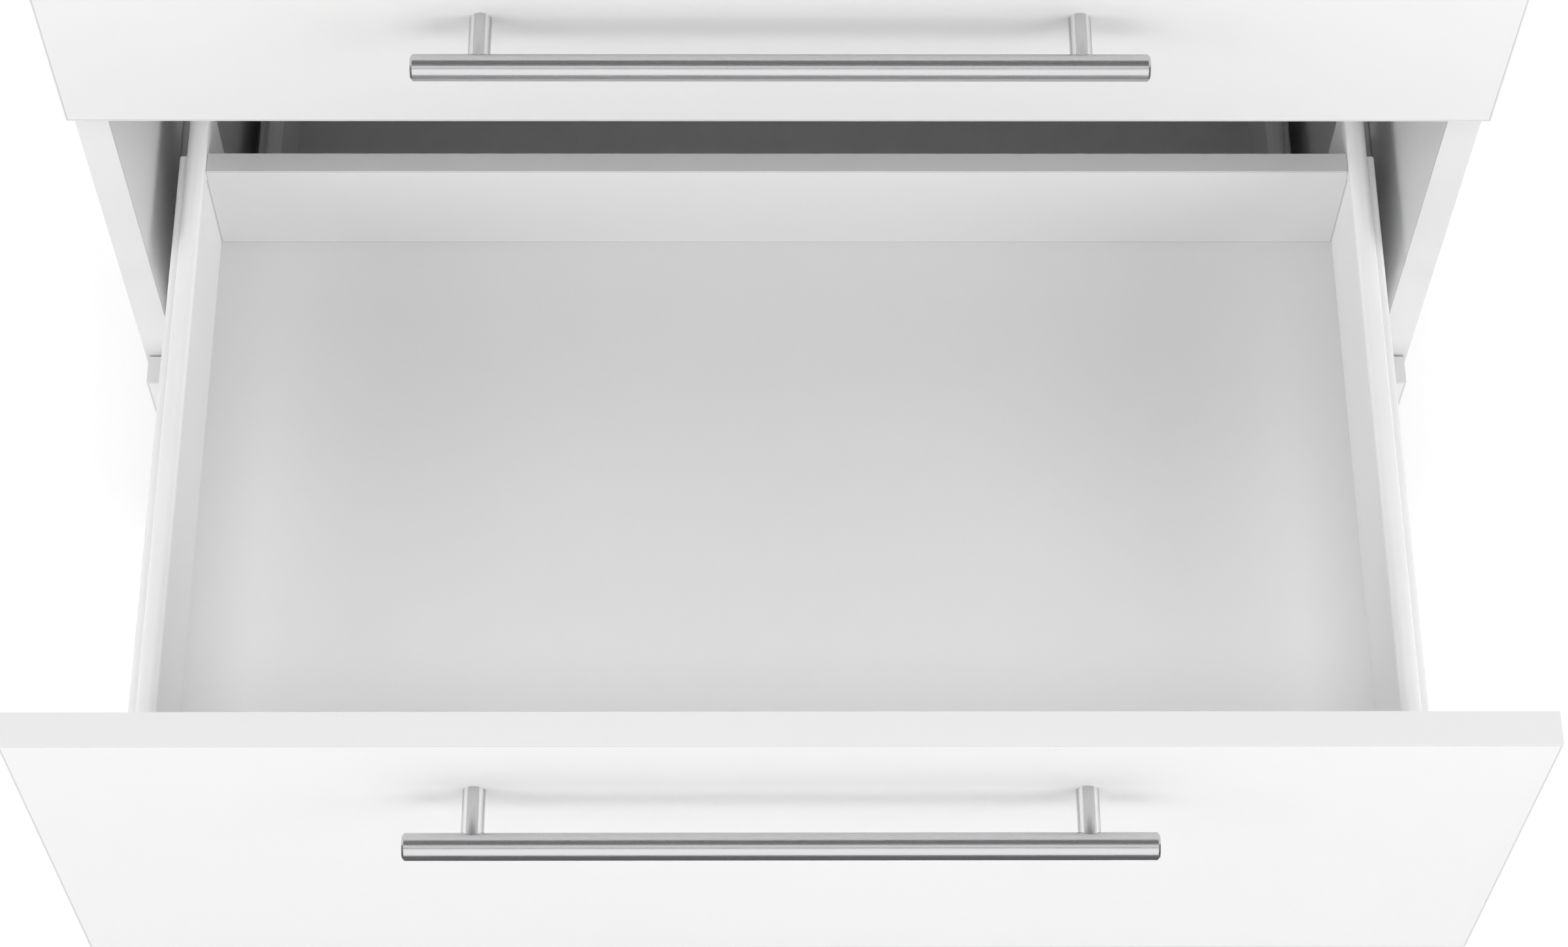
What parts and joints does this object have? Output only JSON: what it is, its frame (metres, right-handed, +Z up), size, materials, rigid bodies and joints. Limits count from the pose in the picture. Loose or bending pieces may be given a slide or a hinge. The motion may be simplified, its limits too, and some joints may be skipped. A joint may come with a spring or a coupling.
{
  "type": "kitchen drawer base cabinet",
  "caption": "Kitchen drawer base cabinet with white board fronts and bar handles, steel-sided drawers on roller runners, levelling feet and a clipped plinth board.",
  "frame": {"origin": "on the floor under the middle of the whole outline, with the middle drawer open to its stop", "axes": "+X to the right seen from the front, +Y to the back of the cabinet, +Z up; drawers open along -Y"},
  "size_m": [0.8, 0.9988, 0.82],
  "materials": {
    "front_white": "satin white melamine-faced board",
    "carcass_white": "satin white melamine-faced board",
    "tray_white": "fine-textured pale grey-white board",
    "back_white": "fine-textured white board with a grey top edge",
    "rear_white": "thin white-lacquered fibreboard",
    "coated_steel": "smooth white epoxy coat",
    "brushed_handle": "brushed along the bar",
    "zinc_steel": "zinc plated",
    "nylon": "smooth natural nylon",
    "black_plastic": "fine-grained moulded plastic",
    "beech": "fluted raw beech"
  },
  "bodies": {
    "cabinet": {"side_panel_left": "carcass_white", "side_panel_right": "carcass_white", "bottom_panel": "carcass_white", "rear_panel": "rear_white", "front_rail": "carcass_white", "rear_rail": "carcass_white", "cam_housings": "zinc_steel", "cam_bolts": "zinc_steel", "wood_dowels": "beech", "runner_screws": "zinc_steel", "foot_sockets": "black_plastic", "plinth_board": "front_white", "plinth_clips": "black_plastic", "bottom_runner_left": "coated_steel", "bottom_runner_right": "coated_steel", "middle_runner_left": "coated_steel", "middle_runner_right": "coated_steel", "top_runner_left": "coated_steel", "top_runner_right": "coated_steel"},
    "adjustable_foot_front_left": {"foot_front_left": "black_plastic"},
    "adjustable_foot_front_right": {"foot_front_right": "black_plastic"},
    "adjustable_foot_rear_left": {"foot_rear_left": "black_plastic"},
    "adjustable_foot_rear_right": {"foot_rear_right": "black_plastic"},
    "bottom_drawer": {"bottom_front": "front_white", "bottom_handle_bar": "brushed_handle", "bottom_handle_posts": "brushed_handle", "bottom_handle_screws": "zinc_steel", "bottom_side_left": "coated_steel", "bottom_side_right": "coated_steel", "bottom_tray_base": "tray_white", "bottom_tray_back": "back_white", "bottom_front_brackets": "zinc_steel", "bottom_tray_screws": "zinc_steel"},
    "bottom_front_roller_pair": {"bottom_front_rollers": "nylon"},
    "bottom_rear_roller_pair": {"bottom_rear_rollers": "nylon"},
    "middle_drawer": {"middle_front": "front_white", "middle_handle_bar": "brushed_handle", "middle_handle_posts": "brushed_handle", "middle_handle_screws": "zinc_steel", "middle_side_left": "coated_steel", "middle_side_right": "coated_steel", "middle_tray_base": "tray_white", "middle_tray_back": "back_white", "middle_front_brackets": "zinc_steel", "middle_tray_screws": "zinc_steel"},
    "middle_front_roller_pair": {"middle_front_rollers": "nylon"},
    "middle_rear_roller_pair": {"middle_rear_rollers": "nylon"},
    "top_drawer": {"top_front": "front_white", "top_handle_bar": "brushed_handle", "top_handle_posts": "brushed_handle", "top_handle_screws": "zinc_steel", "top_side_left": "coated_steel", "top_side_right": "coated_steel", "top_tray_base": "tray_white", "top_tray_back": "back_white", "top_front_brackets": "zinc_steel", "top_tray_screws": "zinc_steel"},
    "top_front_roller_pair": {"top_front_rollers": "nylon"},
    "top_rear_roller_pair": {"top_rear_rollers": "nylon"}
  },
  "joints": [
    {"name": "foot_front_left_height", "type": "slide", "parent": "cabinet", "child": "adjustable_foot_front_left", "axis": [0, 0, -1], "range_m": [-0.01, 0.02]},
    {"name": "foot_front_right_height", "type": "slide", "parent": "cabinet", "child": "adjustable_foot_front_right", "axis": [0, 0, -1], "range_m": [-0.01, 0.02]},
    {"name": "foot_rear_left_height", "type": "slide", "parent": "cabinet", "child": "adjustable_foot_rear_left", "axis": [0, 0, -1], "range_m": [-0.01, 0.02]},
    {"name": "foot_rear_right_height", "type": "slide", "parent": "cabinet", "child": "adjustable_foot_rear_right", "axis": [0, 0, -1], "range_m": [-0.01, 0.02]},
    {"name": "bottom_drawer_slide", "type": "slide", "parent": "cabinet", "child": "bottom_drawer", "axis": [0, -1, 0], "range_m": [0, 0.38]},
    {"name": "bottom_front_rollers_spin", "type": "hinge", "parent": "cabinet", "child": "bottom_front_roller_pair", "pos_m": [0, -0.04462, 0.13855], "axis": [1, 0, 0], "continuous": true},
    {"name": "bottom_rear_rollers_spin", "type": "hinge", "parent": "bottom_drawer", "child": "bottom_rear_roller_pair", "pos_m": [0, 0.42338, 0.139], "axis": [1, 0, 0], "continuous": true},
    {"name": "middle_drawer_slide", "type": "slide", "parent": "cabinet", "child": "middle_drawer", "axis": [0, -1, 0], "range_m": [-0.38, 0]},
    {"name": "middle_front_rollers_spin", "type": "hinge", "parent": "cabinet", "child": "middle_front_roller_pair", "pos_m": [0, -0.04462, 0.41905], "axis": [1, 0, 0], "continuous": true},
    {"name": "middle_rear_rollers_spin", "type": "hinge", "parent": "middle_drawer", "child": "middle_rear_roller_pair", "pos_m": [0, 0.04337, 0.4195], "axis": [1, 0, 0], "continuous": true},
    {"name": "top_drawer_slide", "type": "slide", "parent": "cabinet", "child": "top_drawer", "axis": [0, -1, 0], "range_m": [0, 0.38]},
    {"name": "top_front_rollers_spin", "type": "hinge", "parent": "cabinet", "child": "top_front_roller_pair", "pos_m": [0, -0.04462, 0.70755], "axis": [1, 0, 0], "continuous": true},
    {"name": "top_rear_rollers_spin", "type": "hinge", "parent": "top_drawer", "child": "top_rear_roller_pair", "pos_m": [0, 0.42338, 0.708], "axis": [1, 0, 0], "continuous": true}
  ],
  "couplings": [
    {"joint": "bottom_front_rollers_spin", "follows": "bottom_drawer_slide", "rad_per_m": 89.686},
    {"joint": "bottom_rear_rollers_spin", "follows": "bottom_drawer_slide", "rad_per_m": 83.333},
    {"joint": "middle_front_rollers_spin", "follows": "middle_drawer_slide", "rad_per_m": 89.686},
    {"joint": "middle_rear_rollers_spin", "follows": "middle_drawer_slide", "rad_per_m": 83.333},
    {"joint": "top_front_rollers_spin", "follows": "top_drawer_slide", "rad_per_m": 89.686},
    {"joint": "top_rear_rollers_spin", "follows": "top_drawer_slide", "rad_per_m": 83.333}
  ]
}
